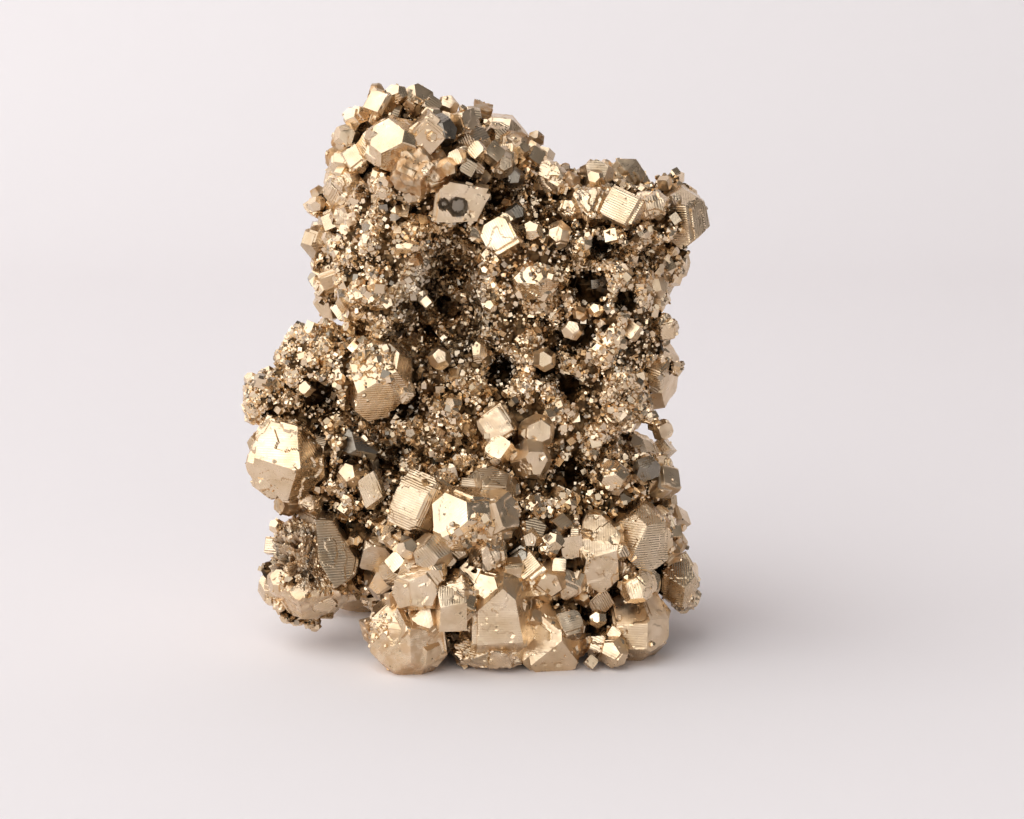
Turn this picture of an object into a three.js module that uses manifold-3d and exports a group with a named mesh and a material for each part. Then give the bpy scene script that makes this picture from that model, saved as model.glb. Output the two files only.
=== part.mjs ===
// A pyrite specimen: a hand-sized cluster of intergrown brassy crystals with no separate matrix.
// Everything in it grew together, so the whole cluster is one solid and one mesh.
// Millimetres, +Z up. X runs to the right of the show side, which faces -Y. The origin lies under the
// middle of the cluster, on the flat break that it stands on.
import * as THREE from "three";
import { ConvexGeometry } from "three/addons/geometries/ConvexGeometry.js";
import { mergeVertices } from "three/addons/utils/BufferGeometryUtils.js";
import Module from "manifold-3d";

const wasm = await Module();
wasm.setup();

const LUMP_DETAIL = 2; // subdivisions of the icosahedron behind each lump
const VUG_DETAIL = 1;
const LUMP_RELIEF = 0.1; // height of the bumps on a lump, as a share of its radius
const RELIEF_CELL = 4.5; // spacing of those bumps
const WELD = 1e-4; // vertices closer than this are one
const EDGE_ON = 1e-6; // planes whose normals' triple product is under this have no point in common
const SAME_CORNER = 1e-3; // corners of a unit crystal closer than this are one
const BREAK = 100; // side of the block that takes off what lies under the flat break
const SCATTER = [127.1, 311.7, 74.7]; // unrelated numbers that scatter the grid values of the relief
const SCATTER_GAIN = 43758.5453;

// The massive pyrite that the crystals sit on, from the foot up: middle x, y, z and half-sizes x, y, z.
const LUMPS = {
  foot: [3, -1, 9, 16.5, 14.6, 10.5],
  foot_back: [1, 8, 13, 15, 10.5, 13.5],
  foot_right: [16.5, -2, 10, 5, 8, 8],
  waist: [2.5, 4, 25, 16.5, 11, 12],
  left_arm: [-16, -1, 20, 5, 6, 5.5],
  shoulder: [-14.6, 0, 29, 5.4, 7, 4.2],
  shoulder_tip: [-20, -2, 26, 3.2, 4.5, 2.8],
  back: [3, 9.4, 34, 14, 8.4, 14],
  middle: [4.8, 0, 38.5, 5.6, 7, 8.6],
  column: [14, 1.5, 34, 6.8, 9.5, 13],
  column_top: [15, 2, 45, 7.5, 8, 4.2],
  neck: [-6.5, 2, 40, 7.5, 8.5, 9],
  rear_lobe: [-11.5, 8.5, 41.5, 4.6, 6, 7.5],
  crown: [-4.5, -0.5, 51, 8, 7.5, 4.8],
  crown_right: [3, 4, 48, 6, 7.5, 5],
};

// Hollows in the mass, given in the same way. Each is open to the show side.
const VUGS = {
  main: [-1.8, -7, 34.8, 2.9, 7.5, 3.4],
  cleft: [0.2, -7, 42, 2.4, 5.5, 4.5],
  cleft_top: [3.2, -8, 47.5, 1.8, 5, 2.2],
  lower: [3.2, -8.5, 29.8, 1.7, 4.5, 1.4],
  shoulder: [-15, -8, 26.2, 1.9, 5, 1.5],
};

// Face families of pyrite's crystal class, as the Miller indices of one face.
const CUBE = [1, 0, 0];
const OCTAHEDRON = [1, 1, 1];
const PYRITOHEDRON = [2, 1, 0];

// The shapes the crystals take: the distance of each family's faces from the middle, for a crystal of
// size 1, and the direction in the crystal that is turned to face outwards.
const HABITS = {
  cube: { faces: [[CUBE, 0.72], [OCTAHEDRON, 1.12]], outward: CUBE },
  block: { faces: [[CUBE, 0.76], [PYRITOHEDRON, 0.94]], outward: CUBE },
  pyrite: { faces: [[PYRITOHEDRON, 0.84]], outward: PYRITOHEDRON },
  capped: { faces: [[OCTAHEDRON, 0.84], [CUBE, 0.84]], outward: OCTAHEDRON },
  hexagon: { faces: [[OCTAHEDRON, 0.76], [CUBE, 0.9]], outward: OCTAHEDRON },
};

// The large crystals: middle x, y, z, size (half the width), habit, then the way the outward direction
// points: azimuth (0 to the show side, 90 to +X), elevation, and the turn about it. Degrees.
const CRYSTALS = [
  // crown
  [-7.7, -5, 52.4, 3.5, "hexagon", -25, 25, 10],
  [-3.2, -5.5, 53.8, 2.5, "capped", 40, 25, 0],
  [-4.2, -7, 49.6, 2.6, "pyrite", 0, 20, 30],
  [-0.7, -6.6, 47.2, 3.1, "block", 5, -2, 8],
  [3.6, -4.2, 50.8, 2, "pyrite", 20, 30, 0],
  [0.4, -2, 54.8, 1.7, "cube", 40, 20, 35],
  [4.2, 0, 52, 2.2, "capped", 40, 20, 30],
  [-2.6, -1.5, 55.4, 1.9, "pyrite", 10, 20, 10],
  [-6, 0, 56.2, 2, "capped", 10, 50, 20],
  [-9, 0, 56, 2.1, "pyrite", -30, 30, 40],
  [-11.8, -1, 52.5, 2.4, "pyrite", -60, 20, 0],
  [2.6, 7.5, 51.4, 4.4, "capped", 25, 35, 15],
  [-4, 6, 53, 3, "pyrite", 170, 40, 0],
  // rear lobe
  [-14.2, 8, 45.4, 2.9, "pyrite", -80, 20, 0],
  [-14.2, 7, 41, 3.1, "capped", -70, -10, 30],
  [-14.2, 8, 37, 2.8, "pyrite", -60, -10, 0],
  [-11.5, 5.5, 37, 3.2, "capped", -20, 0, 40],
  // column
  [21.6, 3, 45.8, 3.2, "pyrite", 60, 10, 10],
  [19.6, -3, 45.2, 2.6, "block", 20, 15, 30],
  [21, 1, 41.2, 2.4, "pyrite", 50, 10, 40],
  [9.3, -3.5, 48.4, 2.7, "pyrite", -20, 30, 0],
  [13, -3.5, 48, 2.6, "capped", 0, 40, 20],
  [15.6, 2.5, 47.6, 2.8, "capped", 0, 50, 0],
  [12.4, -6, 45.2, 2.8, "block", -20, 0, 30],
  [16.4, -6, 45, 2.7, "pyrite", 15, 10, 60],
  [4, -7.8, 43.4, 2.5, "cube", -22, 14, 12],
  [7.2, -7.2, 42.8, 1.9, "pyrite", 20, 20, 30],
  [7, -7.6, 39.4, 2.9, "capped", -15, 20, 50],
  [1, -6.9, 31.4, 1.8, "pyrite", 15, 10, 40],
  [19.8, -2, 33.4, 2.3, "capped", 70, 0, 0],
  [19.8, -2.5, 29.6, 2.3, "pyrite", 60, -10, 20],
  // left side
  [-9.8, -7, 28.8, 4.2, "pyrite", -20, 35, 25],
  [-18.6, -5, 20.2, 4.7, "capped", -25, 25, 15],
  [-12, -6.4, 21.8, 2.7, "hexagon", 30, 30, 20],
  [-11.1, -7.8, 17.6, 2.5, "pyrite", 0, 0, 25],
  [-16.6, -4.4, 7.6, 5.3, "pyrite", -10, 5, 20],
  [-12.8, -2, 11.2, 4.6, "block", 45, -10, 45],
  // middle and foot
  [3.4, -7, 24, 2.6, "block", -15, 0, 25],
  [7.2, -7, 23.4, 2.2, "pyrite", 10, 5, 10],
  [3.6, -8.4, 21.6, 1.8, "cube", -20, 30, 20],
  [6.6, -8, 20.4, 2.4, "capped", 15, 0, 60],
  [-4, -11, 16.4, 3.5, "block", -40, 25, 30],
  [-1.2, -13.2, 15.4, 3.9, "hexagon", -25, 20, 25],
  [2, -11.5, 16, 3.2, "pyrite", 50, 15, 0],
  [-4.2, -14.5, 12.9, 2.4, "pyrite", 20, 30, 0],
  [-4.7, -15.2, 10, 2.9, "block", 0, 5, 22],
  [-1.7, -17, 8.6, 2, "cube", 12, 10, 4],
  [-5.6, -12.6, 4.2, 4.8, "capped", 22, 0, 0],
  [3, -12.4, 6, 5.2, "pyrite", 8, 5, 30],
  [6.8, -10.6, 10, 3.1, "pyrite", 0, 10, 0],
  [6.6, -10, 13.8, 1.9, "pyrite", 20, 30, 40],
  [8.8, -11.6, 3.6, 4.2, "cube", -30, 24, 14],
  [14.6, -12.2, 2.6, 1.9, "pyrite", -15, 10, 35],
  [17.4, -9, 3.4, 3.8, "capped", 20, 10, 10],
  [17.4, -11, 8.4, 1.8, "pyrite", -10, 10, 0],
  [14.2, -8, 10, 4.6, "pyrite", 25, -5, 20],
  [18.3, -6.6, 12.3, 3.7, "block", -35, 15, 20],
  [22, -4, 6.9, 2.9, "block", 35, -20, 42],
  [15.2, -5.6, 18.2, 2.5, "hexagon", -10, -10, 0],
  [19.4, -3, 18.4, 2.5, "pyrite", 40, 0, 20],
  // right flank, back and left flank
  [18.5, 6, 8, 4.8, "pyrite", 110, 0, 0],
  [17.6, 4, 18, 4, "capped", 100, 10, 30],
  [18.8, 8, 27, 4.4, "pyrite", 115, 5, 20],
  [19, 8.5, 38, 3.8, "pyrite", 120, 10, 0],
  [12, 10.5, 44.5, 4.2, "capped", 150, 35, 0],
  [4, 15.5, 42, 4.8, "pyrite", 175, 20, 15],
  [-5.5, 13, 44, 4.6, "capped", -165, 15, 0],
  [-10, 13, 34.5, 4.8, "pyrite", -150, 0, 20],
  [2, 17, 31, 4.8, "cube", 180, 0, 30],
  [10, 15.8, 23, 5.2, "pyrite", 170, 0, 0],
  [-5, 16, 22.5, 5.6, "pyrite", -170, 5, 30],
  [-13.5, 10, 25, 5, "pyrite", -120, 10, 10],
  [14, 13, 13, 5.2, "pyrite", 145, -5, 0],
  [3.5, 17, 11.5, 5, "pyrite", 175, 0, 25],
  [-7.5, 15, 11, 5, "capped", -160, 0, 0],
  [-14, 8, 13.5, 4.6, "pyrite", -115, 0, 20],
  [-12.5, 11, 4.2, 4.6, "pyrite", -130, 0, 20],
  [9, 13.5, 3.4, 4.6, "pyrite", 165, 0, 40],
];

const PYRITE = new THREE.MeshStandardMaterial({ color: 0xc2a57a, metalness: 1, roughness: 0.3 });

/** A repeatable value from 0 to 1 for a point of the whole-number grid. */
function gridValue(x, y, z) {
  const mixed = Math.sin(x * SCATTER[0] + y * SCATTER[1] + z * SCATTER[2]) * SCATTER_GAIN;
  return mixed - Math.floor(mixed);
}

/** Smooth noise from -1 to 1 that varies over RELIEF_CELL millimetres: the eased mean of the eight
 * grid values round the point. */
function relief(point) {
  const cell = point.clone().divideScalar(RELIEF_CELL);
  const low = cell.clone().floor();
  const share = cell.sub(low).toArray().map((t) => t * t * (3 - 2 * t));
  let sum = 0;
  for (let corner = 0; corner < 8; corner++) {
    const step = [corner & 1, (corner >> 1) & 1, corner >> 2];
    const weight = step.reduce((w, s, axis) => w * (s ? share[axis] : 1 - share[axis]), 1);
    sum += weight * gridValue(low.x + step[0], low.y + step[1], low.z + step[2]);
  }
  return 2 * sum - 1;
}

/** A geometry as a manifold-3d solid, its equal vertices made one. */
function solidOf(geometry) {
  const bare = new THREE.BufferGeometry().setAttribute("position", geometry.getAttribute("position"));
  if (geometry.index) bare.setIndex(geometry.index);
  const merged = mergeVertices(bare, WELD);
  return new wasm.Manifold(
    new wasm.Mesh({
      numProp: 3,
      vertProperties: merged.getAttribute("position").array,
      triVerts: new Uint32Array(merged.index.array),
    }),
  );
}

/** An ellipsoid whose surface moves in and out with the relief noise. */
function lump([x, y, z, halfX, halfY, halfZ], detail) {
  const middle = new THREE.Vector3(x, y, z);
  const half = new THREE.Vector3(halfX, halfY, halfZ);
  const geometry = new THREE.IcosahedronGeometry(1, detail);
  const position = geometry.getAttribute("position");
  const point = new THREE.Vector3();
  for (let i = 0; i < position.count; i++) {
    const outward = point.fromBufferAttribute(position, i).clone();
    point.multiply(half).add(middle);
    point.addScaledVector(outward.multiply(half), LUMP_RELIEF * relief(point));
    position.setXYZ(i, ...point);
  }
  return solidOf(geometry);
}

/** Every direction of a face family: the three cyclic orders of its indices, with every choice of sign.
 * Pyrite has no fourfold axes, so the other three orders aren't its faces. */
function family(indices) {
  const directions = new Map();
  for (let turn = 0; turn < 3; turn++) {
    for (let signs = 0; signs < 8; signs++) {
      const turned = indices.map((_, axis) => indices[(axis + turn) % 3] * ((signs >> axis) & 1 ? -1 : 1));
      directions.set(turned.map((value) => value + 0).join(), new THREE.Vector3(...turned).normalize());
    }
  }
  return [...directions.values()];
}

/** The corners of the solid that a habit's planes enclose: each point where three planes meet that lies
 * outside none of the others. */
function corners(faces) {
  const planes = faces.flatMap(([indices, distance]) =>
    family(indices).map((normal) => new THREE.Plane(normal, -distance)),
  );
  const found = [];
  const cross = (a, b) => a.normal.clone().cross(b.normal);
  for (let i = 0; i < planes.length; i++) {
    for (let j = i + 1; j < planes.length; j++) {
      for (let k = j + 1; k < planes.length; k++) {
        const [a, b, c] = [planes[i], planes[j], planes[k]];
        const determinant = a.normal.dot(cross(b, c));
        if (Math.abs(determinant) < EDGE_ON) continue;
        const point = cross(b, c)
          .multiplyScalar(-a.constant)
          .addScaledVector(cross(c, a), -b.constant)
          .addScaledVector(cross(a, b), -c.constant)
          .divideScalar(determinant);
        const inside = planes.every((plane) => plane.distanceToPoint(point) < EDGE_ON);
        if (inside && found.every((other) => other.distanceTo(point) > SAME_CORNER)) found.push(point);
      }
    }
  }
  return found;
}

const CORNERS = Object.fromEntries(
  Object.entries(HABITS).map(([name, habit]) => [name, corners(habit.faces)]),
);

/** A unit direction from its azimuth and elevation in degrees. Azimuth 0 is -Y and 90 is +X. */
function direction(azimuth, elevation) {
  const a = THREE.MathUtils.degToRad(azimuth);
  const e = THREE.MathUtils.degToRad(elevation);
  return new THREE.Vector3(Math.sin(a) * Math.cos(e), -Math.cos(a) * Math.cos(e), Math.sin(e));
}

/** One crystal of the table. */
function crystal([x, y, z, size, habit, azimuth, elevation, spin]) {
  const outward = direction(azimuth, elevation);
  const aim = new THREE.Quaternion().setFromUnitVectors(
    new THREE.Vector3(...HABITS[habit].outward).normalize(),
    outward,
  );
  const turn = new THREE.Quaternion().setFromAxisAngle(outward, THREE.MathUtils.degToRad(spin));
  const place = new THREE.Matrix4().compose(
    new THREE.Vector3(x, y, z),
    turn.multiply(aim),
    new THREE.Vector3(size, size, size),
  );
  const points = CORNERS[habit].map((corner) => corner.clone().applyMatrix4(place));
  return solidOf(new ConvexGeometry(points));
}

/** The block of space under the flat break. */
function underBreak() {
  const block = new THREE.BoxGeometry(BREAK, BREAK, BREAK).translate(0, 0, -BREAK / 2);
  return solidOf(block);
}

/** The whole cluster: the lumps joined, the hollows cut out, the crystals set in, and the foot cut flat. */
function cluster() {
  let mass = Object.values(LUMPS)
    .map((row) => lump(row, LUMP_DETAIL))
    .reduce((joined, next) => joined.add(next));
  for (const row of Object.values(VUGS)) mass = mass.subtract(lump(row, VUG_DETAIL));
  for (const row of CRYSTALS) mass = mass.add(crystal(row));
  return mass.subtract(underBreak());
}

/** A solid as a three.js geometry. */
function geometryOf(solid) {
  const { numProp, numVert, vertProperties, triVerts } = solid.getMesh();
  const position = new Float32Array(numVert * 3);
  for (let i = 0; i < numVert; i++) {
    position.set(vertProperties.subarray(i * numProp, i * numProp + 3), i * 3);
  }
  const geometry = new THREE.BufferGeometry();
  geometry.setAttribute("position", new THREE.BufferAttribute(position, 3));
  geometry.setIndex(new THREE.BufferAttribute(triVerts, 1));
  geometry.computeVertexNormals();
  return geometry;
}

const specimen = new THREE.Group();
const clusterMesh = new THREE.Mesh(geometryOf(cluster()), PYRITE);
clusterMesh.name = "pyrite_cluster";
specimen.add(clusterMesh);

export default specimen;
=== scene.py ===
import itertools
import math

import bmesh
import bpy
import numpy as np
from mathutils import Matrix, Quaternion, Vector


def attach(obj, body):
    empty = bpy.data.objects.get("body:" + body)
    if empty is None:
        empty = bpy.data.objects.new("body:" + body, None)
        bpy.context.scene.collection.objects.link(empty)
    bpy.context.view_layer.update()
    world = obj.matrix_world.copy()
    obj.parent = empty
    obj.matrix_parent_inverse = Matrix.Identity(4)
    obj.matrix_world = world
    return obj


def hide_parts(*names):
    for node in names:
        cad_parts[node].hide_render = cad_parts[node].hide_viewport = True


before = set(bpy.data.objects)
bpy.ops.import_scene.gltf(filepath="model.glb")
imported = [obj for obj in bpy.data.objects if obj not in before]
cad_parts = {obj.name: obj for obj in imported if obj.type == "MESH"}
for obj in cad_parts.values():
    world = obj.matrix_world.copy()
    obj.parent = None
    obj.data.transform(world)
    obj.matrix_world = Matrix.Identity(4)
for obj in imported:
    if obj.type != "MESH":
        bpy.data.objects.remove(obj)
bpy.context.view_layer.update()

MM = 0.001
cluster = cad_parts["pyrite_cluster"]

# ----------------------------------------------------------
# Crown crystals: the large crystals round the top lobe. Each is solid pyrite in one of the
# mineral's own habits, rooted in the mass behind it, and the mass is later kept back from them.
# They grew in place, plate by plate, which leaves steps, fine grooves and pits on their faces.

CUBE = (1, 0, 0)
OCTAHEDRON = (1, 1, 1)
PYRITOHEDRON = (2, 1, 0)

# Lengths that are nought but for rounding, and the farthest that a corner is off its own plane.
TINY = 1e-6
OFF_PLANE = 1e-4

# Each habit: the distance of each family's faces from the middle of a crystal of size 1, and the
# direction in the crystal that is turned outwards.
HABITS = {
    "cube": (((CUBE, 0.72), (OCTAHEDRON, 1.12)), CUBE),
    "block": (((CUBE, 0.76), (PYRITOHEDRON, 0.94)), CUBE),
    "pyrite": (((PYRITOHEDRON, 0.84),), PYRITOHEDRON),
    "capped": (((OCTAHEDRON, 0.84), (CUBE, 0.84)), OCTAHEDRON),
    "hexagon": (((OCTAHEDRON, 0.76), (CUBE, 0.9)), OCTAHEDRON),
}

# Each finish: height of a growth plate, depth of the pits and depth of the eaten or broken relief,
# all in mm, then grey tarnish, rust, dullness and strength of the fine grooves from 0 to 1.
FINISHES = {
    "bright": (0.08, 0.08, 0.03, 0.00, 0.00, 0.12, 0.25),
    "tan": (0.07, 0.10, 0.04, 0.05, 0.12, 0.30, 0.20),
    "stepped": (0.18, 0.08, 0.03, 0.00, 0.05, 0.15, 0.30),
    "pitted": (0.05, 0.30, 0.04, 0.05, 0.10, 0.35, 0.15),
    "striated": (0.06, 0.00, 0.00, 0.10, 0.05, 0.20, 1.00),
    "olive": (0.05, 0.05, 0.02, 0.35, 0.20, 0.30, 0.60),
    "grey": (0.04, 0.04, 0.00, 0.90, 0.00, 0.25, 0.20),
    "rusty": (0.10, 0.12, 0.40, 0.35, 0.80, 0.60, 0.00),
    "orange": (0.05, 0.08, 0.10, 0.00, 1.00, 0.40, 0.00),
    "golden": (0.05, 0.06, 0.03, 0.00, 0.50, 0.25, 0.10),
    "eaten": (0.12, 0.00, 0.00, 0.05, 0.35, 0.15, 0.00),
    "broken": (0.25, 0.10, 0.28, 0.00, 0.10, 0.20, 0.50),
}


def hashed(cells, seed):
    """A repeatable value from 0 to 1 for each whole-number cell: its three indices and the seed are
    multiplied by large odd numbers, mixed bit by bit, and cut to 24 bits."""
    mixed = cells[..., 0] * 73856093 ^ cells[..., 1] * 19349663 ^ cells[..., 2] * 83492791
    mixed = (mixed ^ seed * 15485863) & 0x7FFFFFFF
    mixed = (mixed ^ mixed >> 15) * 73244475 & 0x7FFFFFFF
    mixed = (mixed ^ mixed >> 13) * 83492791 & 0x7FFFFFFF
    return ((mixed ^ mixed >> 16) & 0xFFFFFF) / 0xFFFFFF


def smooth_noise(points, cell, seed):
    """Noise from 0 to 1 that varies over the cell's size: the mean of the hashed values at a cell's
    eight corners, weighted by the eased place of the point in it."""
    grid = points / cell
    low = np.floor(grid)
    share = grid - low
    share = share * share * (3 - 2 * share)
    low = low.astype(np.int64)
    total = np.zeros(points.shape[:-1])
    for corner in itertools.product((0, 1), repeat=3):
        weight = np.where(np.array(corner) == 1, share, 1 - share).prod(axis=-1)
        total += weight * hashed(low + np.array(corner), seed)
    return total


def nearest_seed(points, cell, seed):
    """Distance, in cells, to the nearest of a set of seeds that has one at a random place in every
    cell of a grid."""
    grid = points / cell
    low = np.floor(grid).astype(np.int64)
    nearest = np.full(points.shape[:-1], 9.0)
    for step in itertools.product((-1, 0, 1), repeat=3):
        around = low + np.array(step)
        place = around + np.stack([hashed(around, seed + axis) for axis in range(3)], axis=-1)
        nearest = np.minimum(nearest, np.linalg.norm(grid - place, axis=-1))
    return nearest


def family(indices):
    """The directions of a face family: the three cyclic orders of its indices with every sign."""
    signs = np.array(list(itertools.product((1, -1), repeat=3)))
    rows = np.concatenate([np.roll(indices, turn) * signs for turn in range(3)])
    rows = np.unique(rows, axis=0).astype(float)
    return rows / np.linalg.norm(rows, axis=1, keepdims=True)


def toward(azimuth, elevation):
    """The unit vector along an azimuth and an elevation in degrees. Azimuth 0 is the show side, -Y,
    and 90 is +X."""
    a, e = math.radians(azimuth), math.radians(elevation)
    return np.array((math.sin(a) * math.cos(e), -math.cos(a) * math.cos(e), math.sin(e)))


def habit_planes(habit):
    """Normals and distances of the planes round a crystal of size 1. A habit is one of HABITS or a
    crystal's own faces: the azimuth, elevation and distance of each."""
    if not isinstance(habit, str):
        return np.array([toward(face[0], face[1]) for face in habit]), np.array(habit)[:, 2]
    faces, _ = HABITS[habit]
    normals = np.concatenate([family(indices) for indices, _ in faces])
    reach = np.concatenate([np.full(len(family(indices)), far) for indices, far in faces])
    return normals, reach


def facets(normals, reach):
    """The corners of the solid that planes enclose, and each plane's corners in order round it.
    A corner is a point where three planes meet that lies outside none of the others."""
    triples = np.array(list(itertools.combinations(range(len(reach)), 3)))
    matrices = normals[triples]
    meets = np.abs(np.linalg.det(matrices)) > TINY
    points = np.linalg.solve(matrices[meets], reach[triples[meets]][..., None])[..., 0]
    inside = (points @ normals.T <= reach + TINY).all(axis=1)
    corners = np.unique(points[inside].round(6) + 0.0, axis=0)
    rings = []
    for normal, distance in zip(normals, reach):
        on = np.flatnonzero(np.abs(corners @ normal - distance) < OFF_PLANE)
        if len(on) < 3:
            continue
        spokes = corners[on] - corners[on].mean(axis=0)
        side = np.cross(normal, spokes[0])
        angle = np.arctan2(spokes @ side, spokes @ spokes[0])
        rings.append(on[np.argsort(angle)])
    return corners, rings


def seat_turn(habit, azimuth, elevation, spin):
    """The turn that points a habit's outward direction along azimuth and elevation and then spins the
    crystal about it, as a 3 by 3 array. A crystal with its own faces isn't turned."""
    if not isinstance(habit, str):
        return np.eye(3)
    aim = Vector(toward(azimuth, elevation))
    first = Vector(HABITS[habit][1]).normalized().rotation_difference(aim)
    return np.array((Quaternion(aim, math.radians(spin)) @ first).to_matrix())


def halved(triangles, split, middles):
    """Triangles cut at the middles of their split edges. split and middles have a column for each
    edge, first to second, second to third and third to first corner: whether it's split and the
    number of its middle point. A triangle gives one, two, three or four."""
    count = split.sum(axis=1)
    turn = np.where(count == 1, split.argmax(axis=1),
                    np.where(count == 2, (~split).argmax(axis=1) + 1, 0)) % 3
    order = (np.arange(3) + turn[:, None]) % 3
    a, b, c = np.take_along_axis(triangles, order, axis=1).T
    ab, bc, ca = np.take_along_axis(middles, order, axis=1).T
    parts = (
        (count == 0, ((a, b, c),)),
        (count == 1, ((a, ab, c), (ab, b, c))),
        (count == 2, ((ab, b, bc), (a, ab, bc), (a, bc, c))),
        (count == 3, ((a, ab, ca), (ab, b, bc), (ca, bc, c), (ab, bc, ca))),
    )
    return np.concatenate([np.stack(corners, axis=1)[chosen]
                           for chosen, cut in parts for corners in cut])


# Behind a crystal, from this share of its half-depth on, edges may be this many times as long.
HIDDEN_FROM, HIDDEN_EDGE = 0.3, 3


def fine_facets(corners, rings, edge, hidden):
    """A crystal's faces cut into small triangles: each face is a fan of triangles about its middle,
    and edges longer than edge (mm) are halved until none is left. The hidden side, +Y if hidden is
    1 and -Y if it's -1, is cut more coarsely. Returns the points and the triangles."""
    points = np.concatenate([corners, [corners[ring].mean(axis=0) for ring in rings]])
    triangles = np.array([(len(corners) + number, first, second) for number, ring in enumerate(rings)
                          for first, second in zip(ring, np.roll(ring, -1))])
    coarse_from = HIDDEN_FROM * np.abs(corners[:, 1]).max()
    while True:
        pairs = np.sort(triangles[:, [[0, 1], [1, 2], [2, 0]]], axis=2).reshape(-1, 2)
        codes, back = np.unique(pairs @ (len(points), 1), return_inverse=True)
        ends = points[np.stack(divmod(codes, len(points)), axis=1)]
        middle = ends.mean(axis=1)
        allowed = edge * np.where(middle[:, 1] * hidden > coarse_from, HIDDEN_EDGE, 1)
        split = np.linalg.norm(ends[:, 0] - ends[:, 1], axis=1) > allowed
        if not split.any():
            return points, triangles
        own = np.where(split, len(points) + np.cumsum(split) - 1, 0)
        points = np.concatenate([points, middle[split]])
        back = back.reshape(-1, 3)
        triangles = halved(triangles, split[back], own[back])


# Relief of the faces. Growth plates are outlined by noise of a wide and a narrow cell (mm). Each pit
# cell (mm) holds one pit, whose radius is a share of it. Broken relief is noise of two cells above a
# floor. Eaten relief is grooves of two cells and round holes, all but gone on the lowest faces.
PLATE_CELL, PLATE_DETAIL_CELL = 2.7, 0.9
PIT_CELL, PIT_RADIUS = 1.7, 0.2
BREAK_CELL, BREAK_DETAIL_CELL, BREAK_FLOOR = 0.9, 0.4, 0.35
GROOVE_CELL, GROOVE_DETAIL_CELL, HOLE_CELL, HOLE_DEPTH = 0.9, 0.5, 1.8, 3.2
SOUND_BELOW, SOUND_FADE, SOUND_SHARE = -2.4, 1.2, 0.12


def face_relief(points, turn, finish, seed):
    """How deep (mm) a face lies under its ideal plane at each point: growth plates (smooth noise cut
    into levels), pits (round cups about scattered seeds), and broken relief (smooth noise above a
    floor). An eaten crystal has grooves and holes (distances to scattered seeds) in it too."""
    plate, pit, broken, *_ = FINISHES[finish]
    local = points @ turn
    levels = np.floor(3.2 * smooth_noise(local, PLATE_CELL, seed)
                      + 0.6 * smooth_noise(local, PLATE_DETAIL_CELL, seed))
    depth = plate * levels
    if finish == "eaten":
        grooves = (0.8 * nearest_seed(local, GROOVE_CELL, seed + 2)
                   + 0.5 * nearest_seed(local, GROOVE_DETAIL_CELL, seed + 3))
        holes = HOLE_DEPTH * np.clip(0.5 - nearest_seed(local, HOLE_CELL, seed + 4), 0, None)
        eaten = np.clip((points[:, 2] - SOUND_BELOW) / SOUND_FADE, SOUND_SHARE, 1)
        depth = (grooves + holes + depth) * eaten
    if pit:
        cup = np.clip(1 - nearest_seed(local, PIT_CELL, seed) / PIT_RADIUS, 0, 1)
        depth += pit * np.sqrt(cup)
    if broken:
        ragged = (smooth_noise(local, BREAK_CELL, seed + 5)
                  + 0.5 * smooth_noise(local, BREAK_DETAIL_CELL, seed + 6))
        depth += broken * np.clip(ragged - BREAK_FLOOR, 0, None)
    return depth


# The least slope at which a ray counts as running towards a plane.
LEAST_SLOPE = 0.05


def leaving(rays, normals, reach):
    """How far along each ray from a crystal's middle it crosses the nearest and the next nearest of
    the face planes that it runs towards: a plane's distance over the ray's slope towards it."""
    slope = rays @ normals.T
    crossings = np.where(slope > LEAST_SLOPE, reach / np.maximum(slope, LEAST_SLOPE), np.inf)
    return np.partition(crossings, 1, axis=1)[:, :2].T


def full_row(row):
    """A crystal's row with its stretch along x, y and z, which a row leaves out where it's even."""
    return (*row, (1, 1, 1))[:10]


# The two deep pits in the crown's overhanging crystal: x, z, radius and depth in mm, the width of
# their walls in mm, and their grey tarnish, rust, dullness and grooves. The strong grey is painted
# shade inside the pits.
DENTS = ((-2.2, 47.2, 0.6, 0.9), (-0.8, 46.9, 1.0, 1.2))
DENT_WALL = 0.3
DENT_SHADED_LOOKS = (0.9, 0.1, 0.4, 0)

# Faces of a habit stand at these least and greatest shares of their distance, and relief takes them
# down to the lowest share at most. Crystals under the full size (mm) have shallower relief. Edges
# are worn over a width and to a depth that are shares of the size, in chips of a cell (mm). Crystals
# in front of a y (mm) are seen from the front, and the others from behind.
UNEVEN = (0.9, 1.05)
LOWEST = 0.6
FULL_SIZE = 2.5
WEAR_WIDTH, WEAR_DEPTH, CHIP_CELL = 0.09, 0.018, 1.1
FRONT_UP_TO = 2


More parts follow.
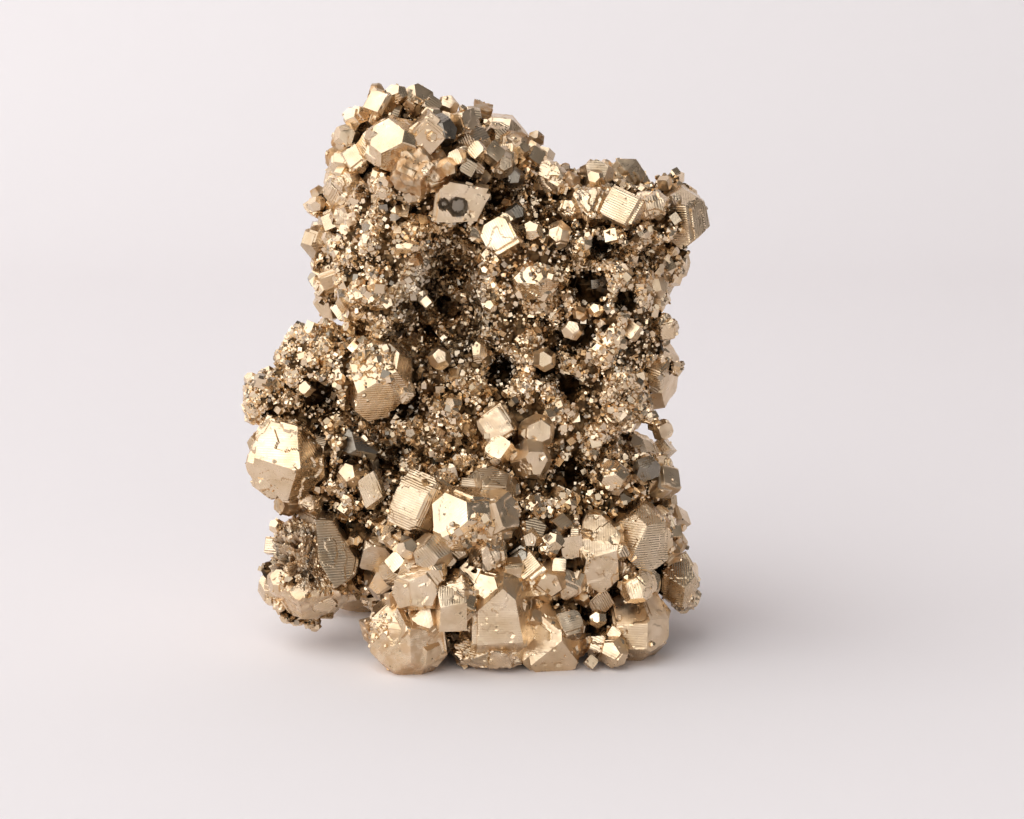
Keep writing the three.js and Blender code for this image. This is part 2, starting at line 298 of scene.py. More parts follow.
def grown_crystal(row, edge, seed):
    """One large crystal: every point of the ideal crystal is moved along the line to its middle, to
    where that line meets the first of the faces lowered by their relief, and a little further in near
    an edge where noise says that it's chipped. Returns points (mm), triangles, each triangle
    corner's place along the grooves, how far each point sank under the ideal crystal (mm), and the
    crystal's seat: its middle, size, its faces' normals and distances, and its points."""
    x, y, z, size, habit, azimuth, elevation, spin, finish, stretch = full_row(row)
    turn = seat_turn(habit, azimuth, elevation, spin)
    unit_normals, unit_reach = habit_planes(habit)
    if isinstance(habit, str):
        unit_reach = unit_reach * np.random.default_rng(seed).uniform(*UNEVEN, len(unit_reach))
    corners, rings = facets(unit_normals, unit_reach)
    points, triangles = fine_facets((corners * size) @ turn.T * stretch, rings, edge,
                                    1 if y < FRONT_UP_TO else -1)
    normals = unit_normals @ turn.T / stretch
    steep = np.linalg.norm(normals, axis=1, keepdims=True)
    normals, reach = normals / steep, unit_reach * size / steep[:, 0]
    ray = points / np.linalg.norm(points, axis=1, keepdims=True)
    relief = face_relief(points, turn, finish, seed) * min(1, size / FULL_SIZE)
    lowered = np.maximum(reach - relief[:, None], LOWEST * reach)
    first, second = leaving(ray, normals, lowered)
    edge_wear = np.clip(1 - (second - first) / (WEAR_WIDTH * size), 0, 1)
    chips = np.clip(2.2 * smooth_noise(points, CHIP_CELL, seed + 9) - 0.8, 0, 1)
    first = first - WEAR_DEPTH * size * edge_wear * chips
    settled = ray * first[:, None]
    sunk = leaving(ray, normals, reach)[0] - first
    faces = settled[triangles]
    local = faces @ turn
    across = np.cross(faces[:, 1] - faces[:, 0], faces[:, 2] - faces[:, 0]) @ turn
    own = (np.abs(across).argmax(axis=1) + 1) % 3
    grain = [np.take_along_axis(local, (own[:, None, None] + step) % 3, axis=2)[..., 0]
             for step in range(2)]
    settled += (x, y, z)
    for dent_x, dent_z, radius, depth in DENTS:
        away = np.hypot(settled[:, 0] - dent_x, settled[:, 2] - dent_z)
        inner = np.clip((radius - away) / DENT_WALL, 0, 1) * (settled[:, 1] < y)
        settled[:, 1] += depth * inner
    settled[:, 2] = np.maximum(settled[:, 2], 0)
    seat = (np.array((x, y, z)), size * max(stretch), normals, reach, settled)
    return settled, triangles, np.stack(grain, axis=2), sunk, seat


# Neighbouring faces that meet at more than this many degrees have a sharp edge between them.
SHARP_FROM = 11


def mesh_object(name, points, loops, counts, looks, places=None, map_name="grain"):
    """A mesh object from arrays: points in mm, the corner indices of its faces one after another and
    the number of corners of each face. looks holds grey tarnish and painted shade, rust, dullness and
    grooves for each point. places holds each face corner's place in the piece's own map of the given
    name."""
    mesh = bpy.data.meshes.new(name)
    mesh.vertices.add(len(points))
    mesh.vertices.foreach_set("co", (np.asarray(points) * MM).astype(np.float32).ravel())
    mesh.loops.add(len(loops))
    mesh.loops.foreach_set("vertex_index", np.asarray(loops, dtype=np.int32))
    mesh.polygons.add(len(counts))
    starts = np.concatenate([[0], np.cumsum(counts)[:-1]])
    mesh.polygons.foreach_set("loop_start", starts.astype(np.int32))
    mesh.polygons.foreach_set("loop_total", np.asarray(counts, dtype=np.int32))
    mesh.update(calc_edges=True)
    mesh.validate()
    mesh.set_sharp_from_angle(angle=math.radians(SHARP_FROM))
    layer = mesh.attributes.new("looks", "FLOAT_COLOR", "POINT")
    layer.data.foreach_set("color", np.asarray(looks, dtype=np.float32).ravel())
    if places is not None:
        uv = mesh.uv_layers.new(name=map_name)
        uv.data.foreach_set("uv", places.astype(np.float32).ravel())
    piece = bpy.data.objects.new(name, mesh)
    bpy.context.scene.collection.objects.link(piece)
    return piece


def new_material(name):
    """A new node material, its Principled shader, a function that adds nodes to it, and its links."""
    material = bpy.data.materials.new(name)
    material.use_nodes = True
    nodes, links = material.node_tree.nodes, material.node_tree.links
    shader = next(node for node in nodes if node.type == "BSDF_PRINCIPLED")

    def add(kind, inputs=(), **settings):
        """A new node with its own settings. Each input is linked if it's a socket, else set."""
        node = nodes.new("ShaderNode" + kind)
        for key, value in settings.items():
            setattr(node, key, value)
        for key, value in dict(inputs).items():
            if isinstance(value, bpy.types.NodeSocket):
                links.new(value, node.inputs[key])
            else:
                node.inputs[key].default_value = value
        return node

    return material, shader, add, links


# Clean pyrite from its palest to its deepest, grey tarnish that also paints shade in recesses, rust
# and the floors of the tiny pits.
PALE, DEEP = (0.86, 0.69, 0.50), (0.68, 0.51, 0.32)
TARNISH_AND_SHADE_GREY = (0.22, 0.20, 0.17, 1)
RUST = (0.50, 0.28, 0.12, 1)
PIT_FLOOR = (0.05, 0.035, 0.02, 1)
BUMP_HEIGHT = 0.06 * MM


def pyrite_material(name, grooves, pale=PALE, deep=DEEP):
    """Metallic pale brass. Grey tarnish and painted shade, rust and dullness come from the piece's own
    looks attribute, broken up by noise. Tiny dark pits are scattered over it and fine grooves run
    along the grain map. Scales are in cells for each metre, and in the grain map for each mm."""
    material, shader, add, links = new_material(name)
    place = add("TexCoord").outputs["Object"]
    looks = add("Attribute", attribute_name="looks").outputs
    grey, rust, dullness = add("SeparateColor", {"Color": looks["Color"]}).outputs

    def noise(scale, detail):
        """Smooth noise over the piece, from 0 to 1."""
        return add("TexNoise", {"Vector": place, "Scale": scale, "Detail": detail}).outputs["Fac"]

    def ranged(value, low, high, start=0.0, end=1.0):
        """The value's stretch from low to high made start to end, and kept between them."""
        return add("MapRange", {0: value, 1: low, 2: high, 3: start, 4: end}).outputs[0]

    def blend(share, low, high):
        """The colour that goes from low to high as the share goes from 0 to 1."""
        return add("Mix", {0: share, 6: low, 7: high}, data_type="RGBA").outputs[2]

    def combined(first, second, operation="ADD"):
        """The sum of two values, or what another operation makes of them."""
        return add("Math", {0: first, 1: second}, operation=operation).outputs[0]

    cloud, speck, mottle = noise(420.0, 4.0), noise(2600.0, 2.0), noise(1100.0, 4.0)
    seeds = add("TexVoronoi", {"Vector": place, "Scale": 950.0}).outputs["Distance"]
    pit = ranged(seeds, 0.05, 0.16, 1.0, 0.0)
    scar = ranged(cloud, 0.48, 0.62, 0.0, 0.6)
    warm = blend(ranged(cloud, 0.3, 0.7), (*pale, 1), (*deep, 1))
    # Painted shade: the grey channel darkens recesses, the cavity and the hollows as well as tarnished
    # crystals.
    tarnished_and_shaded = blend(grey, warm, TARNISH_AND_SHADE_GREY)
    rusted = blend(combined(rust, ranged(mottle, 0.35, 0.6), "MULTIPLY"), tarnished_and_shaded, RUST)
    pits = combined(pit, scar, "MULTIPLY")
    links.new(blend(pits, rusted, PIT_FLOOR), shader.inputs["Base Color"])
    sheen = ranged(mottle, 0.3, 0.7, -0.04, 0.14)
    links.new(combined(ranged(dullness, 0.0, 1.0, 0.13, 0.58), sheen), shader.inputs["Roughness"])
    shader.inputs["Metallic"].default_value = 1.0
    height = combined(combined(mottle, 0.8, "MULTIPLY"), combined(speck, 0.25, "MULTIPLY"))
    height = combined(height, pits, "SUBTRACT")
    if grooves:
        lines = add("UVMap", uv_map="grain").outputs["UV"]
        wave = add("TexWave", {"Vector": lines, "Scale": 1.3, "Distortion": 1.6, "Detail": 2.5,
                               "Detail Scale": 0.6}, bands_direction="X").outputs["Fac"]
        height = combined(height, combined(wave, looks["Alpha"], "MULTIPLY"))
    bump = add("Bump", {"Height": height, "Strength": 0.55, "Distance": BUMP_HEIGHT}).outputs[0]
    links.new(bump, shader.inputs["Normal"])
    return material


crystal_finish = pyrite_material("pyrite_crystal", grooves=True)


def belongs(piece, material):
    """The piece is part of the cluster: it rides with it and stands for its CAD node."""
    piece.data.materials.append(material)
    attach(piece, "root")
    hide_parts("pyrite_cluster")


# What grows with a large crystal, in shares of its size: how far aside, how deep and how large.
COMPANY_FROM = 1.3
TWIN_ASIDE, TWIN_SINK, TWIN_SIZE = (0.16, 0.34), (0.02, 0.16), (0.78, 0.9)
SMALL_ASIDE, SMALL_SINK, SMALL_SIZE = (0.62, 0.8), (-0.15, 0.35), (0.2, 0.42)


def companions(row, seed):
    """Rows for the crystals that grew with a large one: two parallel to it and set a little to one
    side, which step its edges, and two to four smaller ones at their own angles round its foot."""
    x, y, z, size, habit, azimuth, elevation, spin, finish, stretch = full_row(row)
    luck = np.random.default_rng(seed)
    outward = toward(azimuth, elevation)

    def beside():
        """A random unit vector square to the outward one."""
        side = np.cross(outward, luck.normal(size=3))
        return side / np.linalg.norm(side)

    grown = []
    for _ in range(2):
        shift = size * (luck.uniform(*TWIN_ASIDE) * beside() - luck.uniform(*TWIN_SINK) * outward)
        grown.append((*(shift * stretch + (x, y, z)), size * luck.uniform(*TWIN_SIZE), habit,
                      azimuth, elevation, spin, finish, stretch))
    for _ in range(luck.integers(2, 5)):
        shift = size * (luck.uniform(*SMALL_ASIDE) * beside() - luck.uniform(*SMALL_SINK) * outward)
        shift *= stretch
        tilt = luck.uniform(-50, 50, 2)
        grown.append((*(shift + (x, y, z)), size * luck.uniform(*SMALL_SIZE),
                      ("pyrite", "cube", "capped", "block")[luck.integers(4)], azimuth + tilt[0],
                      elevation + tilt[1], luck.uniform(0, 90),
                      ("tan", "bright", "olive", "stepped", finish)[luck.integers(5)]))
    return grown


# The seat of every large crystal so far, as grown_crystal returns it. Distances are measured up to
# the first length (mm) beyond a crystal's corners, and are the second elsewhere.
seats = []
MEASURED, FAR = 2, 99.0


def crystal_distance(points):
    """Distance from each point (mm) to the surface of the nearest large crystal, less than 0 inside
    it: the greatest distance in front of any of the crystal's planes, least over the crystals that
    are near enough."""
    nearest = np.full(len(points), FAR)
    rising = np.argsort(points[:, 2])
    heights = points[rising, 2]
    for middle, size, normals, reach, _ in seats:
        scope = 1.3 * size + MEASURED
        level = rising[slice(*np.searchsorted(heights, (middle[2] - scope, middle[2] + scope)))]
        close = level[np.linalg.norm(points[level] - middle, axis=1) < scope]
        ahead = ((points[close] - middle) @ normals.T - reach).max(axis=1)
        nearest[close] = np.minimum(nearest[close], ahead)
    return nearest


# A point that has sunk deeper than this (mm) gets painted shade: grey is added by a share for each
# further mm, up to a most, for the shade in grooves, pits and holes.
DARK_BELOW, DARKENING, DARKEST = 0.35, 0.9, 0.95


def grow_group(name, rows, edge, seed):
    """The large crystals of one part of the cluster and those that grew with them, as one piece of
    triangles with edges up to edge (mm)."""
    points, triangles, grains, looks = [], [], [], []
    first = 0
    grown = [(row, seed + 50 * number) for number, row in enumerate(rows)]
    grown += [(row, own + count) for first_row, own in grown if first_row[3] > COMPANY_FROM
              for count, row in enumerate(companions(first_row, own), 1)]
    for row, own in grown:
        placed, cells, grain, sunk, seat = grown_crystal(row, edge, own)
        points.append(placed)
        triangles.append(cells + first)
        grains.append(grain.reshape(-1, 2))
        tones = np.tile(FINISHES[row[8]][3:7], (len(placed), 1))
        # Painted shade: points sunk into the relief are made greyer, for the shade that falls in
        # recesses.
        recess_shade = np.clip(DARKENING * (sunk - DARK_BELOW), 0, DARKEST)
        tones[:, 0] = np.maximum(tones[:, 0], recess_shade)
        for dent_x, dent_z, radius, _ in DENTS:
            dented = np.hypot(placed[:, 0] - dent_x, placed[:, 2] - dent_z) < radius
            # Painted shade: the insides of the deep pits are made dark grey.
            tones[dented & (placed[:, 1] < row[1])] = DENT_SHADED_LOOKS
        looks.append(tones)
        first += len(placed)
        seats.append(seat)
    loops = np.concatenate(triangles).ravel()
    piece = mesh_object(name, np.concatenate(points), loops, np.full(len(loops) // 3, 3),
                        np.concatenate(looks), np.concatenate(grains))
    belongs(piece, crystal_finish)


# Each row: middle x, y, z and size (half the width) in mm, habit, azimuth, elevation and spin in
# degrees, finish, and stretch along x, y and z where it isn't even. A crystal with its own faces has
# each one's azimuth, elevation and distance, in sizes, in place of a habit. After a group's rows come
# the longest edge (mm) of its triangles and its seed.
grow_group("crown_crystals", [
    (-7.2, -5.6, 52.9, 3.5, "hexagon", -24, 24, 10, "bright"),
    (-4.7, -5.6, 53.4, 2.2, "capped", -25, 20, 20, "striated"),
    (-2.7, -6, 54.2, 1.9, "pyrite", 42, 10, 0, "grey"),
    (-5.2, -6.4, 50.4, 3.2, "pyrite", -5, 20, 30, "rusty"),
    (-3.1, -6.8, 50.3, 2.4, "capped", 10, 5, 10, "rusty"),
    (-1.9, -8.2, 50.7, 1.2, "pyrite", 10, 0, 30, "orange"),
    (-0.5, -7.5, 47.2, 2.4, ((11, -2, 0.8), (90, 80, 0.86), (90, -26, 0.82), (90, -88, 0.8),
     (-90, 8, 1), (-90, 55, 1.05), (180, 0, 0.9)), 11, -2, 0, "pitted"),
    (-0.8, -7.2, 51.6, 1.2, "cube", -25, 5, 20, "tan"),
    (0.2, -6.8, 50.6, 1.1, "cube", 10, 10, 50, "olive"),
    (1.3, -6.4, 52.2, 1.2, "cube", -30, 20, 15, "bright"),
    (2.7, -6.2, 51.9, 1.3, "cube", 20, 25, 30, "tan"),
    (3.6, -5.4, 50.9, 1.5, "capped", 15, 10, 20, "olive"),
    (-0.3, -4.6, 55.3, 1.5, "cube", 45, 10, 10, "tan"),
    (-9, -2.6, 56.6, 1.7, "block", -20, 30, 30, "tan"),
    (-9.3, -1.6, 57.9, 1.1, "capped", -20, 20, 0, "rusty"),
    (-7.2, -1.6, 57.7, 1.3, "pyrite", -30, 30, 30, "bright"),
    (-5.5, -0.6, 57, 1.4, "pyrite", 10, 30, 10, "tan"),
    (-3.7, -2.6, 56.5, 1.2, "cube", 20, 30, 30, "olive"),
    (-2, -0.6, 56.4, 1.3, "pyrite", 0, 30, 20, "tan"),
    (2.9, 7.4, 50.8, 4.5, ((-16, 34, 0.84), (52, 12, 0.8), (90, 84, 0.92), (-90, 10, 0.78),
     (90, -30, 1), (90, 40, 0.88), (-90, 52, 0.9), (0, -60, 1.1), (180, 10, 1)), 20, 40, 0, "tan"),
    (5.6, -2.6, 52, 1.1, "pyrite", 20, 30, 0, "tan"),
    (6.9, -1.6, 51.3, 1.2, "cube", 30, 20, 40, "tan"),
    (4.8, -4.6, 49.4, 1.2, "pyrite", 0, 10, 0, "grey"),
    (-12.4, -2.6, 53.4, 1.5, "capped", -60, 20, 0, "tan"),
    (-13.6, -0.6, 51, 1.4, "pyrite", -60, 0, 0, "rusty"),
    (-11.2, -4.2, 51.4, 1.5, "block", -30, 10, 20, "stepped"),
    (-11.4, -1.6, 55.2, 1.5, "pyrite", -40, 30, 10, "bright"),
    (-12.2, -3.6, 49, 1.6, "pyrite", -30, 0, 50, "broken"),
    (-4, 5.4, 53, 3, "pyrite", 170, 40, 0, "olive"),
], 0.35, 1000)

# ----------------------------------------------------------
# Rear lobe crystals: pyrite crystals that stand one above another at the left, behind the crown.
# They grew on the mass, and most of their faces are stepped and broken.

grow_group("rear_lobe_crystals", [
    (-13.4, 6, 46.8, 2.7, "pyrite", -60, 10, 0, "broken"),
    (-14.1, 7, 43.2, 2.3, "capped", -70, -10, 30, "striated"),
    (-12.6, 3.6, 44.6, 2.3, "pyrite", -30, 0, 0, "broken"),
    (-14.2, 8.5, 40.2, 2.2, "pyrite", -60, -10, 0, "olive"),
    (-13.8, 8, 37.2, 2.2, "capped", -60, 0, 40, "tan"),
    (-12.8, 5.5, 49.2, 2, "pyrite", -60, 20, 0, "broken"),
], 0.42, 2000)

# ----------------------------------------------------------
# Column crystals: single pyrite crystals of the upper right side and round the open cavity, where
# they stand in the fine crusts, and the corner crystal at the top right. All are rooted in the mass.

grow_group("column_crystals", [
    (22.2, -1.5, 45.2, 2.6, ((-28, -4, 0.72), (46, 6, 0.76), (0, 60, 0.86), (90, 12, 0.92),
     (90, 60, 1.02), (-90, 10, 0.8), (-90, 60, 0.98), (90, -50, 1), (-90, -55, 1.1), (180, 0, 1.1)),
     0, 10, 0, "striated"),
    (22.2, 2.5, 46, 2.3, "pyrite", 70, 0, 0, "tan"),
    (9, -4, 49.3, 2.2, "pyrite", -20, 30, 0, "broken"),
    (12.8, -5.1, 47, 2.7, "capped", -10, 20, 20, "broken"),
    (13.4, -2.5, 49.4, 1.9, "pyrite", 0, 30, 40, "olive"),
    (15.9, -5.9, 46.2, 2.4, "block", -12, 25, 35, "striated"),
    (18.8, -4.5, 46.4, 2.2, "pyrite", 10, 10, 0, "broken"),
    (16.5, 1.5, 49.2, 2.1, "capped", 0, 50, 0, "tan"),
    (10.6, -5.5, 46.2, 1.5, "pyrite", -10, 20, 20, "broken"),
    (3.7, -8.3, 43.9, 2.3, "cube", -22, 14, 12, "bright"),
    (6.8, -7.7, 44.3, 1.2, "pyrite", -20, 30, 30, "bright"),
    (9.4, -7.1, 43.9, 1.4, "capped", -15, 10, 30, "tan"),
    (5, -7.1, 46, 1.1, "pyrite", 10, 20, 0, "grey"),
    (7.1, -8.1, 39.4, 2.9, "capped", -18, 20, 50, "stepped", (1.05, 1, 0.8)),
    (11.7, -7.3, 35.7, 0.9, "capped", -10, 0, 10, "orange"),
    (13.2, -7.5, 36.2, 0.9, "pyrite", -10, 20, 0, "bright"),
    (10.8, -7.1, 34, 1.2, "pyrite", 0, 30, 0, "tan"),
    (17, -6.1, 33.8, 1.2, "cube", -20, 20, 30, "tan"),
    (2.5, -7.1, 36.5, 0.8, "pyrite", -20, 20, 20, "bright"),
    (-4, -7.5, 37, 0.7, "block", -15, 10, 30, "tan"),
    (-6, -7.1, 42.5, 1.2, "pyrite", -20, 25, 30, "bright", (1.4, 1, 0.7)),
    (-2.8, -6.9, 31, 1.3, "pyrite", 0, 20, 0, "tan"),
    (8, -7.1, 31, 1.3, "capped", 0, 10, 0, "tan"),
    (1.3, -7.2, 31.8, 1.2, "pyrite", -30, 20, 40, "bright", (0.75, 1, 1.2)),
], 0.34, 3000)

# ----------------------------------------------------------
# Left crystals: the stepped pyrite crystals of the shoulder and of the left edge, and the smaller
# ones below them. They grew on the mass, plate by plate.

grow_group("left_crystals", [
    (-9.3, -7.6, 28.7, 3.8, ((-20, 36, 0.84), (20, -25, 0.82), (62, 10, 0.84), (-66, 0, 0.86),
     (90, 0, 0.87), (90, 50, 1), (90, 85, 1.04), (-90, 45, 1.02), (-90, 0, 0.86), (-90, -45, 0.9),
     (90, -80, 1), (90, -40, 0.9), (180, 0, 1)), -10, 20, 0, "stepped"),
    (-18.4, -6, 20.3, 4.6, ((-12, 28, 0.78), (50, 24, 0.8), (-24, -22, 0.78), (40, -32, 0.82),
     (90, 78, 0.92), (90, 42, 0.84), (90, 0, 0.85), (90, -38, 0.88), (90, -85, 0.96),
     (-90, -50, 0.86), (-90, -25, 0.76), (-90, 11, 0.8), (-90, 31, 0.9), (180, 0, 1)), -10, 15, 0,
     "stepped"),
    (-11.2, -8, 22, 1.5, ((24, 34, 0.5), (-38, 16, 0.6), (0, -40, 0.6), (90, 53, 0.6),
     (-90, 34, 1.3), (-90, -72, 0.6), (90, -20, 1.4), (180, 0, 1)), 10, 30, 0, "grey"),
    (-9.7, -8.8, 17.8, 1.8, "block", -8, 5, 20, "striated", (0.8, 1, 1.25)),
    (-12, -7.4, 19, 1.5, "pyrite", -20, 20, 0, "tan"),
    (-12.6, -8, 15.5, 0.8, "cube", -20, 30, 20, "bright"),
    (-13.8, -6.4, 11.2, 3, ((20, 30, 0.6), (95, 0, 0.86), (-60, 10, 0.9), (90, 34, 0.5),
     (-90, -34, 0.6), (90, 85, 0.97), (90, -60, 1.1), (90, -10, 0.84), (180, 0, 1)), 30, 20, 0,
     "olive"),
    (-16.5, -6.4, 27.8, 0.9, "cube", -25, 20, 20, "tan"),
    (-19.9, -5.6, 13.2, 0.9, "pyrite", -30, 30, 0, "bright"),
    (-18.9, -3.6, 15.2, 1.7, "pyrite", -40, 0, 0, "rusty"),
    (-16.4, -4.2, 15.6, 1.7, "capped", -20, 10, 30, "broken"),
], 0.33, 4000)

# ----------------------------------------------------------
# Eaten crystal: the big pyrite crystal at the left of the foot. It was dissolved in part after it
# grew, which left grooves and holes in all but its lowest faces.

grow_group("eaten_crystal", [
    (-16.5, -6, 8.7, 4.7, ((-26, 8, 0.86), (36, 14, 0.84), (-50, -35, 0.92), (25, -42, 0.94),
     (-90, 5, 0.98), (-90, 51, 1.24), (90, 85, 1.2), (-90, -42, 1.02), (-90, -76, 1.08),
     (90, -64, 1.1), (90, -10, 0.98), (90, 40, 1.0), (180, 0, 1)), 0, 10, 0, "eaten"),
], 0.24, 5000)

# ----------------------------------------------------------
# Middle crystals: blocks and many-faced pyrite crystals above the foot, grown against one another
# and rooted in the mass.

grow_group("middle_crystals", [
    (3.2, -8, 24.3, 2.3, "block", -12, 5, 30, "tan"),
    (7.3, -8, 23.6, 2.1, "hexagon", 6, 5, 10, "pitted"),
    (3.5, -9.4, 21.9, 1.6, "cube", -20, 32, 20, "bright"),
    (6.7, -9, 20.9, 2.3, "capped", 15, 0, 60, "pitted", (0.95, 1, 1.1)),
    (-4.4, -12, 16.6, 3.4, "block", -38, 25, 30, "striated"),
    (-0.6, -14.2, 15.8, 3.9, "hexagon", -25, 20, 25, "bright"),
    (2.4, -12.6, 15.8, 3.2, "pyrite", 46, 15, 0, "tan"),
    (2.6, -10.6, 17.6, 3, "pyrite", 10, 50, 20, "olive"),
    (2.2, -14.4, 12.4, 2.7, "capped", 10, -5, 40, "broken"),
    (15.2, -6.8, 18.7, 2.2, "hexagon", -10, -10, 0, "stepped", (1, 1, 0.8)),
    (18.6, -5.6, 19.2, 1.5, "pyrite", 40, 0, 20, "grey"),
    (20, -4, 17.4, 1.6, "pyrite", 40, 0, 20, "olive"),
    (20.3, -3.6, 23, 1.2, "cube", 30, 0, 20, "tan"),
    (4.6, -9.6, 17.8, 1.1, "pyrite", -30, 30, 20, "bright"),
], 0.37, 6000)

# ----------------------------------------------------------
# Foot crystals: the thickest pyrite crystals, side by side along the front of the base. The lowest
# ones are broken off flat, and the specimen stands on them.

grow_group("foot_crystals", [
    (-3.2, -15.6, 12.6, 2.2, "pyrite", 20, 30, 0, "olive"),
    (-4.6, -16.2, 9.2, 2.7, "pyrite", 4, 2, 6, "tan"),
    (-7, -14, 11.2, 1.3, "cube", -20, 20, 20, "bright"),
    (-1.5, -17.4, 7.3, 1.7, ((12, -8, 0.95), (2, 46, 1), (102, 0, 0.85), (-78, 0, 0.85),
     (180, 0, 1.2), (0, -86, 1.3), (0, 88, 1.35)), 12, 0, 0, "tan"),
    (-5.7, -14, 3.4, 4, ((34, 4, 0.8), (-30, 2, 0.8), (4, -46, 0.98), (-60, -42, 1),
     (52, -42, 0.98), (36, 44, 0.88), (-30, 46, 0.84), (90, 8, 0.92), (90, 48, 0.96),
     (-90, 4, 1.02), (-90, 50, 0.98), (-90, -40, 1.02), (90, -40, 1), (0, 88, 1), (180, 0, 1)), 0,
     10, 0, "golden"),
    (3.6, -14, 6.3, 3.7, ((2, 2, 0.98), (66, 10, 0.82), (46, 40, 1.05), (-82, 0, 0.82),
     (-48, 42, 1), (0, 76, 1.3), (6, -52, 1.2), (180, 0, 1.1), (80, -50, 1.2)), 3, 5, 0, "tan"),
    (2.3, -15, 8.8, 2.2, "pyrite", -14, 20, 10, "pitted"),
    (2.6, -14, 2, 3.4, "capped", 0, -20, 0, "broken", (1.25, 1, 0.7)),
    (5.8, -12.4, 10.8, 2, "capped", -20, 20, 30, "grey"),
    (7.5, -11.9, 8.4, 2.5, "pyrite", -20, 10, 0, "tan"),
    (9.9, -11.4, 8.6, 1.9, "pyrite", 10, 20, 0, "rusty"),
    (6.7, -11.4, 13.8, 1.8, "pyrite", 20, 30, 40, "striated"),
    (8.8, -13.2, 3, 3.3, ((-30, 16, 0.78), (12, -28, 0.84), (58, 10, 0.8), (20, 60, 0.9),
     (-90, -10, 0.8), (-90, -44, 1.05), (90, -20, 0.96), (90, 45, 0.9), (-90, 50, 1.05),
     (90, -60, 1.1), (180, 0, 1)), 0, 0, 0, "pitted"),
    (11.8, -12.4, 7.2, 1, "capped", 10, 20, 10, "orange"),
    (13.4, -13.8, 5.3, 1.1, "capped", -20, 20, 30, "bright"),
    (15, -14, 1.9, 1.6, "pyrite", -18, 14, 35, "tan"),
    (12.7, -14.4, 0.9, 0.9, "cube", 10, 20, 30, "tan"),
    (17.6, -10.6, 3.5, 3, ((-14, 2, 0.94), (50, 0, 0.9), (-20, 52, 0.86), (60, 50, 0.92),
     (-82, 0, 0.88), (-10, -54, 0.98), (110, 0, 1), (180, 0, 1), (60, -50, 1)), 10, 10, 0,
     "pitted"),
    (17.4, -12.4, 8.2, 1.8, "pyrite", -10, 10, 0, "bright"),
    (13.6, -10, 10.9, 3.4, ((8, -14, 0.8), (-14, 48, 0.76), (-60, 0, 0.85), (70, 0, 0.8),
     (90, 0, 0.78), (90, 50, 1.05), (-90, 20, 0.86), (90, 88, 1.3), (-90, -52, 0.84),
     (90, -50, 0.9), (90, -88, 1.05), (180, 0, 1)), 5, 20, 0, "tan"),
    (18, -8.6, 12.6, 3.1, ((-38, 22, 0.7), (24, -3, 0.74), (10, 60, 0.9), (90, 0, 0.8), (90, 52, 1),
     (-90, 10, 0.92), (-90, 55, 0.9), (-90, -44, 0.7), (90, -55, 0.95), (90, 88, 1.12),
     (180, 0, 1)), 0, 10, 0, "striated"),
    (22.2, -5.4, 7.1, 2.2, ((4, 46, 0.72), (-32, -10, 0.8), (52, -12, 0.8), (90, 30, 0.86),
     (90, -10, 0.88), (-90, 0, 0.84), (-90, 50, 1.05), (90, 80, 1.15), (-90, -55, 1),
     (90, -60, 1.08), (180, 0, 1)), 10, 10, 0, "striated"),
    (20.9, -6, 13.5, 1.1, "pyrite", 10, 20, 0, "tan"),
    (21.7, -5.4, 11.4, 1.1, "capped", 20, 0, 0, "rusty"),
    (17, -11, 11, 0.6, "cube", -10, 20, 20, "orange"),
], 0.37, 7000)

# ----------------------------------------------------------
# Back crystals: large pyrite crystals over the back and the right flank, rooted in the mass like
# those in front.

grow_group("back_crystals", [
    (18.5, 6, 8, 4.8, "pyrite", 110, 0, 0, "tan"),
    (17.6, 4, 18, 4, "capped", 100, 10, 30, "stepped"),
    (18.8, 8, 27, 4.4, "pyrite", 115, 5, 20, "tan"),
    (19, 8.5, 38, 3.8, "pyrite", 120, 10, 0, "striated"),
    (12, 10.5, 44.5, 4.2, "capped", 150, 35, 0, "tan"),
    (4, 15.5, 42, 4.8, "pyrite", 175, 20, 15, "bright"),
    (-5.5, 13, 44, 4.6, "capped", -165, 15, 0, "tan"),
    (-10, 13, 34.5, 4.8, "pyrite", -150, 0, 20, "stepped"),
    (2, 17, 31, 4.8, "cube", 180, 0, 30, "pitted"),
    (10, 15.8, 23, 5.2, "pyrite", 170, 0, 0, "tan"),
    (-5, 16, 22.5, 5.6, "pyrite", -170, 5, 30, "stepped"),
    (-13.5, 10, 25, 5, "pyrite", -120, 10, 10, "olive"),
    (14, 13, 13, 5.2, "pyrite", 145, -5, 0, "striated"),
    (3.5, 17, 11.5, 5, "pyrite", 175, 0, 25, "bright"),
    (-7.5, 15, 11, 5, "capped", -160, 0, 0, "tan"),
    (-14, 8, 13.5, 4.6, "pyrite", -115, 0, 20, "pitted"),
    (-12.5, 11, 4.2, 4.6, "pyrite", -130, 0, 20, "tan"),
    (9, 13.5, 3.4, 4.6, "pyrite", 165, 0, 40, "olive"),
], 0.75, 8000)

# ----------------------------------------------------------
# Filling crystals: the many solid pyrite crystals, 1 to 5 mm wide, that grew packed between the
# large ones at the foot, the crown, the right side and the back. Each is at its own angle.

# Half-widths (mm) of fillers. Then, in sizes, for those in front and behind: how clear of the large
# crystals and of one another they are, and how deep their middles are rooted. None is lower than
# the lowest height (mm).
FILLER_SIZES = (0.9, 2.3)
IN_FRONT, BEHIND = (-0.1, 0.6, 0.7), (0.35, 0.8, 0.15)
LOWEST_FILLER = 0.8


def mesh_arrays(mesh):
    """A mesh's points in mm, and the numbers of each of its triangles' three points."""
    mesh.calc_loop_triangles()
    points = np.empty(len(mesh.vertices) * 3)
    mesh.vertices.foreach_get("co", points)
    triangles = np.empty(len(mesh.loop_triangles) * 3, dtype=np.int32)
    mesh.loop_triangles.foreach_get("vertices", triangles)
    return points.reshape(-1, 3) / MM, triangles.reshape(-1, 3)


def with_areas(points, triangles):
    """The triangles' first, second and third corners, and the vector square to each triangle that is
    twice as long as its area."""
    a, b, c = points[triangles].transpose(1, 0, 2)
    return a, b, c, np.cross(b - a, c - a)


